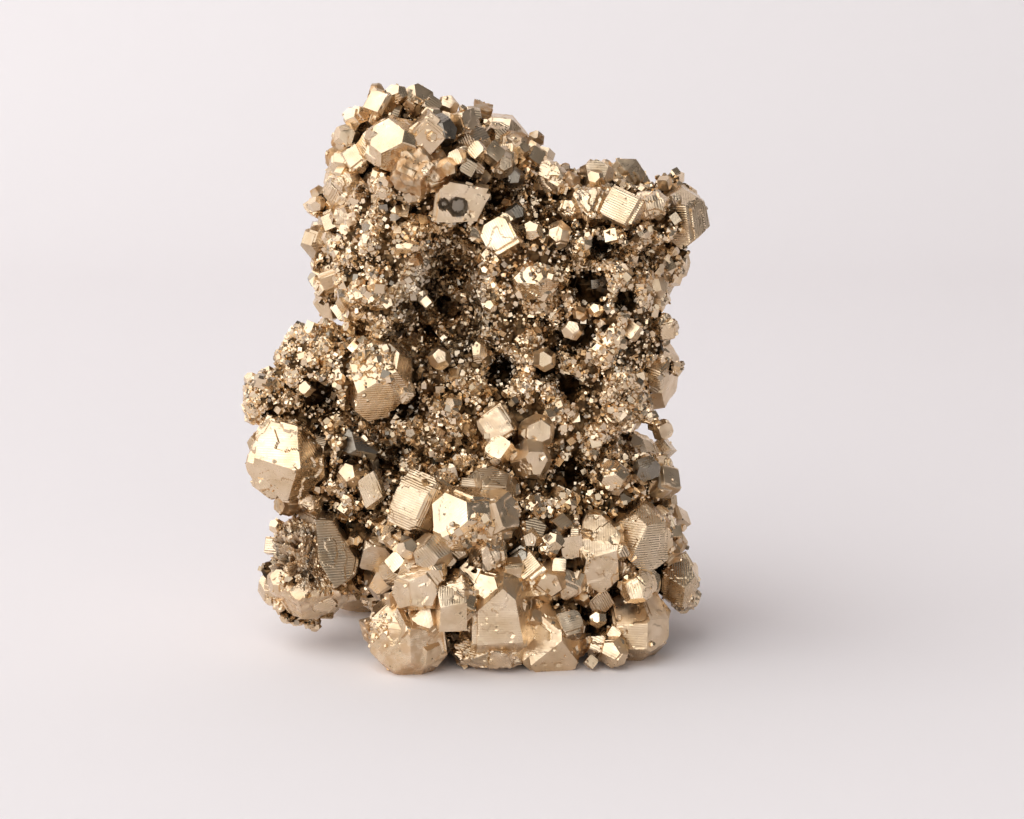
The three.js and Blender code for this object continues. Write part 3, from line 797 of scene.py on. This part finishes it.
def filling_rows(tries, seed):
    """Rows for crystals set on the node's surface wherever a try lands clear of every crystal so far.
    A try is a random point of the surface, even over its area, and a random size and angle. Fillers
    are many and coarse near the foot, the crown, the back and the right side, and none elsewhere."""
    luck = np.random.default_rng(seed)
    a, b, c, area = with_areas(*mesh_arrays(cluster.data))
    share = np.linalg.norm(area, axis=1)
    picked = luck.choice(len(share), size=tries, p=share / share.sum())
    spots = (a + b + c)[picked] / 3 + luck.normal(size=(tries, 3)) * 0.4
    outward = area[picked] / share[picked][:, None]
    rows, taken = [], []
    for spot, normal, room in zip(spots, outward, crystal_distance(spots)):
        low = np.clip((17 - spot[2]) / 6, 0, 1)
        high = np.clip((spot[2] - 48) / 4, 0, 1)
        back = np.clip((spot[1] - 1) / 4, 0, 1)
        right = np.clip((spot[0] - 19) / 2, 0, 0.5)
        coarse = max(low, high, back, right)
        size = luck.uniform(*FILLER_SIZES) * (0.6 + 0.4 * coarse)
        clearance, spacing, root = BEHIND if spot[1] > 0 else IN_FRONT
        if luck.random() > coarse or room < clearance * size or spot[2] < LOWEST_FILLER:
            continue
        if any(np.linalg.norm(spot - other) < spacing * (size + width) for other, width in taken):
            continue
        taken.append((spot, size))
        azimuth = math.degrees(math.atan2(normal[0], -normal[1])) + luck.uniform(-30, 30)
        rows.append((*(spot - root * size * normal), size,
                     ("pyrite", "pyrite", "capped", "block", "cube", "hexagon")[luck.integers(6)],
                     azimuth, luck.uniform(-20, 45), luck.uniform(0, 90),
                     ("tan", "tan", "bright", "pitted", "striated", "olive", "broken",
                      "stepped", "rusty")[luck.integers(9)]))
    return rows


fillers = filling_rows(2600, 17)
grow_group("front_filling_crystals", [row for row in fillers if row[1] < 0], 0.55, 20000)
grow_group("back_filling_crystals", [row for row in fillers if row[1] >= 0], 0.85, 30000)

# ----------------------------------------------------------
# The massive pyrite: the solid mineral that all the crystals grew out of. Its colour is painted near
# black, as painted shade, so it shows as dark, lumpy metal between them and in the open cavity. It is
# one solid with no other rock in it.

# How near one another (mm) points are merged, and the edge (mm) of the voxels.
MERGED_WITHIN, VOXEL = 0.001, 0.5


def remeshed(node, voxel):
    """A copy of a CAD node's mesh, merged and made again from even voxels (mm). Returns its points
    in mm and its triangles."""
    copy = bpy.data.meshes.new("mass_copy")
    shell = bmesh.new()
    shell.from_mesh(node.data)
    bmesh.ops.remove_doubles(shell, verts=shell.verts, dist=MERGED_WITHIN * MM)
    shell.to_mesh(copy)
    shell.free()
    holder = bpy.data.objects.new("mass_copy", copy)
    bpy.context.scene.collection.objects.link(holder)
    remesh = holder.modifiers.new("even", "REMESH")
    remesh.mode = "VOXEL"
    remesh.voxel_size = voxel * MM
    shape = holder.evaluated_get(bpy.context.evaluated_depsgraph_get()).to_mesh()
    points, triangles = mesh_arrays(shape)
    bpy.data.objects.remove(holder)
    bpy.data.meshes.remove(copy)
    return points, triangles


def point_normals(points, triangles):
    """Each point's normal: the sum of its triangles' area vectors, made a unit."""
    *_, area = with_areas(points, triangles)
    total = np.zeros_like(points)
    for corner in range(3):
        np.add.at(total, triangles[:, corner], area)
    return total / np.maximum(np.linalg.norm(total, axis=1, keepdims=True), TINY)


# How far inside a crystal (mm) the mass is kept. It's drawn to crystals that it misses by up to a
# length (mm), or enters by less than a share of their size, on to another share from their middle.
# A crystal's corners and the mass that may hide it are within these many sizes of its middle.
KEPT_INSIDE = 0.6
MISSED_BY, ENTERED_BY, DRAWN_TO = 2.2, 0.25, 0.33
CORNERS_WITHIN, HIDDEN_WITHIN = 1.2, 3


def in_front(points):
    """How far along +Y to move each point (mm) that stands in front of a large crystal of the show
    side, so that it ends inside: where the line along +Y through it crosses the planes that face
    it, the furthest of those crossings is the way in, if it comes before the way out."""
    moves = np.zeros(len(points))
    rising = np.argsort(points[:, 2])
    heights = points[rising, 2]
    for middle, size, normals, reach, _ in seats:
        if middle[1] > 0:
            continue
        scope = CORNERS_WITHIN * size
        level = rising[slice(*np.searchsorted(heights, (middle[2] - scope, middle[2] + scope)))]
        ahead = middle[1] - points[level, 1]
        close = level[(np.abs(points[level, 0] - middle[0]) < scope) & (ahead > 0)
                      & (ahead < HIDDEN_WITHIN * size)]
        room = reach - (points[close] - middle) @ normals.T
        slope = normals[:, 1]
        crossing = room / np.where(np.abs(slope) < TINY, TINY, slope)
        way_in = np.where(slope < 0, crossing, -np.inf).max(axis=1)
        way_out = np.where(slope > 0, crossing, np.inf).min(axis=1)
        depth = np.minimum(way_in + KEPT_INSIDE, (way_in + way_out) / 2)
        depth = np.where((way_in < way_out) & (way_in > -KEPT_INSIDE), depth, 0)
        moves[close] = np.maximum(moves[close], depth)
    return moves


def footed(points):
    """The mass's points (mm) drawn out to the large crystals that they nearly miss: the point
    nearest to such a crystal's middle goes on to a third of its size from there, and its neighbours
    go with it, less the farther off they are."""
    points = points.copy()
    for middle, size, normals, reach, _ in seats:
        away = points - middle
        distance = np.linalg.norm(away, axis=1)
        root = distance.argmin()
        close = distance < distance[root] + 0.5 * size
        deepest = (away[close] @ normals.T - reach).max(axis=1).min()
        if deepest < -ENTERED_BY * size or deepest > MISSED_BY:
            continue
        spread = 0.5 * size + 0.4
        beside = np.linalg.norm(points - points[root], axis=1) / spread
        pull = -away[root] * max(0, 1 - DRAWN_TO * size / distance[root])
        points += pull * np.clip(1 - beside ** 2, 0, 1)[:, None]
    return points


# The open hollows of the show side: x, z, radius and depth in mm.
HOLLOWS = (
    (-2.2, 35.4, 3.7, 7.0), (-1.6, 40.4, 2.4, 5.0), (-5.4, 32.6, 2.6, 4.5), (-4.0, 31.2, 1.6, 3.5),
    (3.4, 29.6, 1.8, 3.5), (8.3, 29.8, 1.6, 3.0), (12.4, 38.2, 1.8, 3.0), (11.4, 33.4, 2.0, 3.0),
    (3.4, 48.2, 2.4, 3.0), (-15.0, 26.8, 1.9, 3.0), (-6.2, 25.6, 1.5, 2.0), (9.6, 43.0, 1.4, 2.0),
    (13.8, 42.5, 1.5, 2.5), (16.2, 37.0, 1.3, 2.0), (19.0, 41.5, 1.3, 2.0), (10.6, 28.0, 1.4, 2.0),
    (10.2, 18.6, 1.6, 2.0), (-8.2, 20.2, 1.5, 2.0),
)
# Lumps of the mass: the cell of their seeds and their height in mm, and a seed. Then the same of the
# noise that roughens it.
LUMPS = ((2.7, 2.8, 3), (1.3, 0.8, 8))
ROUGH_CELL, ROUGH_HEIGHT, ROUGH_SEED = 0.7, 0.5, 12

mass_points, mass_triangles = remeshed(cluster, VOXEL)
mass_normals = point_normals(mass_points, mass_triangles)

# The mass rises in lumps between the large crystals, less within 2.2 mm of one, and sinks inside it.
gap = crystal_distance(mass_points)
free = np.clip(gap / 0.7, 0, 1)
near = np.clip(1 - gap / 2.2, 0, 1)
lumps = np.zeros(len(mass_points))
for cell, height, seed in LUMPS:
    lumps += height * (0.5 - nearest_seed(mass_points, cell, seed))
lumps += ROUGH_HEIGHT * (smooth_noise(mass_points, ROUGH_CELL, ROUGH_SEED) - 0.5)
rise = free * lumps * (1 - 0.6 * near) - 1.3 * (1 - free) - 0.3 * free * near
off_floor = np.clip(mass_points[:, 2] / 1.2, 0, 1)
mass_points = mass_points + mass_normals * (rise * off_floor)[:, None]

show_side = np.clip(-1.5 * mass_normals[:, 1], 0, 1)
for x, z, radius, depth in HOLLOWS:
    away = np.hypot(mass_points[:, 0] - x, mass_points[:, 2] - z) / radius
    mass_points[:, 1] += depth * show_side * np.clip((1.2 - away) / 0.6, 0, 1)
mass_points[:, 1] += in_front(mass_points)
mass_points = footed(mass_points)
mass_points[:, 2] = np.maximum(mass_points[:, 2], 0)

# Grey tarnish, rust, dullness and grooves of the mass.
MASS_LOOKS = (0.0, 0.3, 0.6, 0.0)
mass = mesh_object("pyrite_mass", mass_points, mass_triangles.ravel(),
                   np.full(len(mass_triangles), 3), np.tile(MASS_LOOKS, (len(mass_points), 1)))
mass.data.shade_smooth()
# Painted shade: the mass's pale and deep colours are near black, for the shade between the crystals
# and in the cavity.
belongs(mass, pyrite_material("pyrite_mass", grooves=False, pale=(0.026, 0.019, 0.012),
                              deep=(0.010, 0.008, 0.005)))

# ----------------------------------------------------------
# The fine crystals: crusts of crystals, mostly under a millimetre wide, that cover the mass between
# the large ones. Each is solid pyrite, grown on the mass at its own angle.

# The octahedron's planes cut a cube of this size halfway along its edges.
SMALL_CUBE = 0.78
SMALL_HABITS = {
    "small_cube": (((CUBE, SMALL_CUBE),), CUBE),
    "small_capped": (((OCTAHEDRON, SMALL_CUBE * 2 / 3 ** 0.5), (CUBE, SMALL_CUBE)), OCTAHEDRON),
    "small_pyrite": (((PYRITOHEDRON, 0.84),), PYRITOHEDRON),
}
HABITS.update(SMALL_HABITS)
SHAPES = [facets(*habit_planes(habit)) for habit in SMALL_HABITS]
fine_finish = pyrite_material("pyrite_fine", grooves=False)
chance = np.random.default_rng(11)


def random_turns(count):
    """Evenly random turns as 3 by 3 arrays, from unit quaternions."""
    parts = chance.normal(size=(4, count))
    w, x, y, z = parts / np.linalg.norm(parts, axis=0)
    return np.stack([
        1 - 2 * (y * y + z * z), 2 * (x * y - z * w), 2 * (x * z + y * w),
        2 * (x * y + z * w), 1 - 2 * (x * x + z * z), 2 * (y * z - x * w),
        2 * (x * z - y * w), 2 * (y * z + x * w), 1 - 2 * (x * x + y * y),
    ], axis=1).reshape(-1, 3, 3)


def scattered(count, weight):
    """Random points on the mass, even over its area times the weight of each triangle, and the
    normals there."""
    a, b, c, area = with_areas(mass_points, mass_triangles)
    size = np.linalg.norm(area, axis=1)
    share = size * weight
    picked = chance.choice(len(share), size=count, p=share / share.sum())
    u, v = chance.random((2, count))
    over = u + v > 1
    u[over], v[over] = 1 - u[over], 1 - v[over]
    places = a[picked] + u[:, None] * (b - a)[picked] + v[:, None] * (c - a)[picked]
    return places, area[picked] / np.maximum(size[picked], TINY)[:, None]


def strew(name, middles, sizes, looks):
    """Crystals of simple habits at the given middles and sizes (mm), each at a random turn, joined in
    one piece. Every crystal is its habit's corners scaled, turned and moved, all at once. Its map
    gives each crystal one square of a grid, and each face a regular polygon in a sixteenth of it."""
    kind = chance.integers(len(SHAPES), size=len(middles))
    stretch = chance.uniform(0.85, 1.15, size=(len(middles), 3)) * sizes[:, None]
    turns = random_turns(len(middles))
    grid = math.ceil(math.sqrt(len(middles)))
    points, loops, counts, tones, places = [], [], [], [], []
    first = done = 0
    for number, (corners, rings) in enumerate(SHAPES):
        own = np.flatnonzero(kind == number)
        bodies = np.einsum("nij,nkj->nki", turns[own], corners * stretch[own][:, None])
        bodies += middles[own][:, None]
        start = first + np.arange(len(own)) * len(corners)
        points.append(bodies.reshape(-1, 3))
        loops.append((start[:, None] + np.concatenate(rings)).ravel())
        counts.append(np.tile([len(ring) for ring in rings], len(own)))
        tones.append(np.repeat(looks[own], len(corners), axis=0))
        first += len(own) * len(corners)
        side = np.repeat(np.arange(len(rings)), [len(ring) for ring in rings])
        angle = np.concatenate([np.linspace(0, 2 * np.pi, len(ring), endpoint=False)
                                for ring in rings])
        within = np.stack([side % 4 + 0.5 + 0.48 * np.cos(angle),
                           side // 4 + 0.5 + 0.48 * np.sin(angle)], axis=1) / 4
        square = np.stack(divmod(done + np.arange(len(own)), grid), axis=1)
        places.append(((square[:, None] + within) / grid).reshape(-1, 2))
        done += len(own)
    points = np.concatenate(points)
    points[:, 2] = np.maximum(points[:, 2], 0)
    piece = mesh_object(name, points, np.concatenate(loops), np.concatenate(counts),
                        np.concatenate(tones), np.concatenate(places), "OFBake")
    belongs(piece, fine_finish)


def hollow_depth(points):
    """How far each point (mm) is into a hollow of the show side: 1 at its middle, 0 outside."""
    inner = [np.clip((1.15 - np.hypot(points[:, 0] - x, points[:, 2] - z) / radius) / 0.4, 0, 1)
             for x, z, radius, _ in HOLLOWS]
    return np.max(inner, axis=0) * np.clip(-points[:, 1] / 2, 0, 1)


# Shares of the small crystals that are grey and rusty, and the oval of painted shade round the cavity:
# middle x and z and half the width and height of the oval in mm.
GREY_SHARE, RUSTY_SHARE = 0.14, 0.07
CAVITY_X, CAVITY_Z, CAVITY_HALF_WIDTH, CAVITY_HALF_HEIGHT = -2.8, 35, 5.5, 7.0


def mixed_looks(places):
    """Grey tarnish, rust and dullness of small crystals at the given places: most are clean, a few
    grey or rusty. Grey also carries painted shade: they are greyer round the open cavity, an upright
    oval of the show side, and greyest in the hollows."""
    count = len(places)
    grey = np.where(chance.random(count) < GREY_SHARE, chance.uniform(0.3, 0.9, count), 0.05)
    rust = np.where(chance.random(count) < RUSTY_SHARE, chance.uniform(0.4, 1.0, count), 0.03)
    dull = chance.uniform(0.0, 0.16, count)
    oval = np.hypot((places[:, 0] - CAVITY_X) / CAVITY_HALF_WIDTH,
                    (places[:, 2] - CAVITY_Z) / CAVITY_HALF_HEIGHT)
    cavity_shade = np.clip((1.25 - oval) / 0.5, 0, 1) * np.clip(-places[:, 1] / 2, 0, 1)
    # Painted shade: crystals in the cavity and in the hollows are made grey.
    grey = np.maximum(grey, np.maximum(0.55 * cavity_shade, 0.9 * hollow_depth(places)))
    return np.stack([grey, rust, dull, np.zeros(count)], axis=1)


# How well fine crystals cover each triangle of the mass, from 0 to 1: hardly at all inside a large
# crystal, at the floor and in a hollow, thinly in the furrows between lumps and along the front of the
# foot, and fully on the lumps. Where they are thin, the mass's painted near-black shows as painted
# shade.
THIN_IN_FURROWS = 0.10
BARE_IN_HOLLOWS = 0.985
BARE_AT_FOOT = 0.55
middle_of = mass_points[mass_triangles].mean(axis=1)
room = crystal_distance(mass_points)[mass_triangles].mean(axis=1)
open_ground = np.clip((room - 0.05) / 0.3, 0, 1)
open_ground *= np.clip((middle_of[:, 2] - 0.3) / 0.8, 0, 1)
open_ground *= np.clip((rise[mass_triangles].mean(axis=1) + 0.3) / 0.9, THIN_IN_FURROWS, 1)
open_ground *= 1 - BARE_IN_HOLLOWS * hollow_depth(middle_of)
foot_front = (np.clip((13 - middle_of[:, 2]) / 3, 0, 1) * np.clip(-middle_of[:, 1] / 3, 0, 1)
              * np.clip((middle_of[:, 0] + 9) / 2, 0, 1))
open_ground *= 1 - BARE_AT_FOOT * foot_front


def crust_size(points):
    """Usual half-width (mm) of the fine crystals at each point: finest in the middle of the show side,
    coarser towards the foot, the crown and the back, with smooth patches."""
    back = np.clip((points[:, 1] - 2) / 8, 0, 1)
    foot = np.clip((20 - points[:, 2]) / 8, 0, 1)
    crown = np.clip((points[:, 2] - 47) / 5, 0, 1)
    patches = smooth_noise(points, 4.0, 21)
    return 0.17 + 0.12 * patches + 0.20 * back + 0.06 * foot + 0.10 * crown


# Pieces and crystals in each, the spread of their sizes, how far their middles stand out of the
# mass in sizes, and the power of the usual size by which finer crusts hold more crystals.
FINE_PIECES, FINE_EACH = 5, 6300
FINE_SPREAD, FINE_OUT, FINER_IS_DENSER = 0.33, 0.2, 1.6
crust_weight = open_ground / crust_size(middle_of) ** FINER_IS_DENSER
for number in range(FINE_PIECES):
    spots, normals = scattered(FINE_EACH, crust_weight)
    size = crust_size(spots) * np.exp(FINE_SPREAD * chance.normal(size=FINE_EACH))
    strew(f"fine_crystals_{number + 1}", spots + normals * (size * FINE_OUT)[:, None], size,
          mixed_looks(spots))

# ----------------------------------------------------------
# Medium crystals, 0.7 to 2.8 mm wide, that stand in the crusts between the large ones. They are
# solid pyrite like the rest.

# Their number, how much larger they are than the fine ones about them, the spread and limits of
# their half-widths (mm), and how far their middles stand out of the mass in sizes.
MEDIUM, MEDIUM_TIMES, MEDIUM_SPREAD, MEDIUM_SIZES, MEDIUM_OUT = 1100, 1.9, 0.3, (0.35, 1.4), 0.1
spots, normals = scattered(MEDIUM, open_ground * (crust_size(middle_of) - 0.12))
size = MEDIUM_TIMES * crust_size(spots) * np.exp(MEDIUM_SPREAD * chance.normal(size=MEDIUM))
size = np.clip(size, *MEDIUM_SIZES)
strew("medium_crystals", spots + normals * (size * MEDIUM_OUT)[:, None], size, mixed_looks(spots))

# ----------------------------------------------------------
# Perched crystals: tiny solid pyrite crystals that settled and grew on the faces of the large ones.
# A few large crystals have thick covers of them, such as the shoulder crystal and the eaten one.

# Each cover: middle x, y, z of the large crystal, azimuth and elevation of the cover's middle, its
# spread in degrees, the number of crystals and their usual half-width in mm.
COVERS = (
    (-9.6, -6.6, 29.0, -25, 55, 19, 130, 0.27),
    (-18.6, -5.0, 21.0, 30, 62, 22, 110, 0.24),
    (-16.6, -6.0, 8.6, 10, 60, 26, 90, 0.12),
    (13.7, -8.0, 10.6, -35, 40, 15, 60, 0.22),
    (-5.4, -12.6, 2.8, -80, 40, 22, 110, 0.17),
    (5.8, -11.0, 10.8, 20, 20, 18, 40, 0.22),
    (8.8, -11.8, 3.0, 40, 45, 22, 70, 0.26),
    (7.1, -7.6, 39.4, 20, 60, 26, 60, 0.22),
    (-0.6, -13.2, 15.8, 30, -30, 22, 70, 0.26),
)
# Crystals strewn over each large crystal for each mm of its size, their usual half-width in mm, and
# how far (mm) any perched crystal is off the surface point that it was given.
PERCHED_PER_MM, PERCHED_SIZE, PERCHED_OFF = 2.5, 0.13, 0.04
perch, perch_size = [], []
for _, size, _, _, surface in seats:
    count = int(PERCHED_PER_MM * size)
    perch.append(surface[chance.integers(len(surface), size=count)])
    perch_size.append(PERCHED_SIZE * np.exp(0.5 * chance.normal(size=count)))
for x, y, z, azimuth, elevation, spread, count, usual in COVERS:
    middle, *_, surface = min(seats, key=lambda seat: np.linalg.norm(seat[0] - (x, y, z)))
    rays = (surface - middle) / np.linalg.norm(surface - middle, axis=1, keepdims=True)
    angle = np.degrees(np.arccos(np.clip(rays @ toward(azimuth, elevation), -1, 1)))
    share = np.exp(-0.5 * (angle / spread) ** 2)
    perch.append(surface[chance.choice(len(surface), size=count, p=share / share.sum())])
    perch_size.append(usual * np.exp(0.4 * chance.normal(size=count)))
perch, perch_size = np.concatenate(perch), np.concatenate(perch_size)
perch = perch + chance.normal(size=perch.shape) * PERCHED_OFF
strew("perched_crystals", perch, perch_size, mixed_looks(perch))

# ----------------------------------------------------------
# Studio: a pale floor that sweeps up into a backdrop, soft lights and the camera.

SWEEP_FRONT, SWEEP_Y, SWEEP_RADIUS, SWEEP_HALF_WIDTH, SWEEP_TOP = -1.6, 0.30, 0.18, 1.6, 1.4
arc = np.linspace(-math.pi / 2, 0, 25)
profile_y = np.concatenate([[SWEEP_FRONT], SWEEP_Y + SWEEP_RADIUS * np.cos(arc),
                            [SWEEP_Y + SWEEP_RADIUS]])
profile_z = np.concatenate([[0], SWEEP_RADIUS + SWEEP_RADIUS * np.sin(arc), [SWEEP_TOP]])
sweep_points = [(side * SWEEP_HALF_WIDTH, y, z) for y, z in zip(profile_y, profile_z)
                for side in (-1, 1)]
sweep_faces = [(2 * i, 2 * i + 1, 2 * i + 3, 2 * i + 2) for i in range(len(profile_y) - 1)]
sweep_mesh = bpy.data.meshes.new("studio_sweep")
sweep_mesh.from_pydata(sweep_points, [], sweep_faces)
sweep_mesh.shade_smooth()
sweep = bpy.data.objects.new("studio_sweep", sweep_mesh)
bpy.context.scene.collection.objects.link(sweep)
paper, paper_shader, _, _ = new_material("studio_paper")
paper_shader.inputs["Base Color"].default_value = (0.86, 0.82, 0.825, 1)
paper_shader.inputs["Roughness"].default_value = 0.9
sweep_mesh.materials.append(paper)


# The middle of the specimen, where the lights are aimed.
LIT = Vector((0, 0, 0.03))


def soft_light(name, place, width, height, power):
    """A rectangular soft box of a width and height (m) and a power (W), at place."""
    light = bpy.data.lights.new(name, "AREA")
    light.shape = "RECTANGLE"
    light.size, light.size_y = width, height
    light.energy = power
    holder = bpy.data.objects.new(name, light)
    holder.location = place
    holder.rotation_mode = "QUATERNION"
    holder.rotation_quaternion = (LIT - Vector(place)).to_track_quat("-Z", "Y")
    bpy.context.scene.collection.objects.link(holder)


soft_light("key_light", (-0.68, -0.42, 0.72), 2.0, 1.8, 19.5)
soft_light("fill_light", (-0.02, -1.0, 0.32), 1.6, 0.8, 3.4)

world = bpy.data.worlds.new("studio_air")
bpy.context.scene.world = world
world.use_nodes = True
air = world.node_tree.nodes["Background"].inputs
air["Color"].default_value = (1.0, 0.965, 0.96, 1)
air["Strength"].default_value = 0.165
bpy.context.scene.view_settings.view_transform = "Standard"

CAMERA_AIM = Vector((0.00465, 0, 0.0245))
CAMERA_DISTANCE = 0.300
CAMERA_ELEVATION = math.radians(10)
lens = bpy.data.cameras.new("camera")
lens.lens = 100
lens.sensor_width = 36
lens.clip_start = 0.01
camera = bpy.data.objects.new("camera", lens)
outward = Vector((0, -math.cos(CAMERA_ELEVATION), math.sin(CAMERA_ELEVATION)))
camera.location = CAMERA_AIM + CAMERA_DISTANCE * outward
camera.rotation_mode = "QUATERNION"
camera.rotation_quaternion = (-outward).to_track_quat("-Z", "Y")
bpy.context.scene.collection.objects.link(camera)
bpy.context.scene.camera = camera
